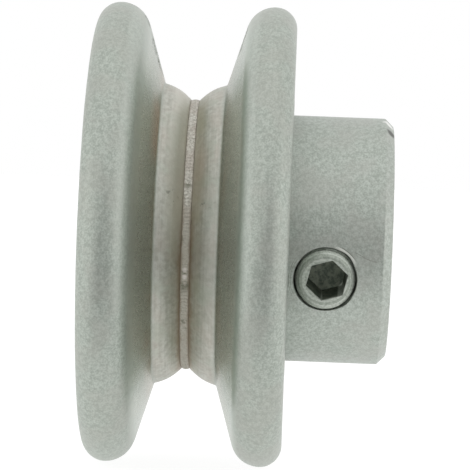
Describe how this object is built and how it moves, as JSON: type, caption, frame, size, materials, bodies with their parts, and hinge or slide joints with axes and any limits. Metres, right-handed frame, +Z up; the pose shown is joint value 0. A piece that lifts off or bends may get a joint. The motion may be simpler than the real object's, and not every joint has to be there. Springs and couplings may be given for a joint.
{
  "type": "v belt pulley",
  "caption": "Small v belt pulley with rounded rims, a welded groove seam and a keyed hub clamped to a shaft by a socket set screw.",
  "frame": {"origin": "on the bore axis, in the middle plane of the belt groove", "axes": "+Y along the bore axis from the outer disc towards the hub, +Z up, +X towards the side that the set screw opens to"},
  "size_m": [0.0536, 0.0346, 0.0536],
  "materials": {
    "disc_steel": "matte",
    "hub_steel": "matte",
    "weld_metal": "satin",
    "screw_steel": "satin"
  },
  "bodies": {
    "pulley": {"hub": "hub_steel", "outer_flange": "disc_steel", "inner_flange": "disc_steel", "weld_bead": "weld_metal"},
    "screw": {"set_screw": "screw_steel"}
  },
  "joints": [
    {"name": "set_screw_travel", "type": "slide", "parent": "pulley", "child": "screw", "axis": [0.9573, 0, -0.289], "range_m": [-0.00141, 0.00423]}
  ]
}
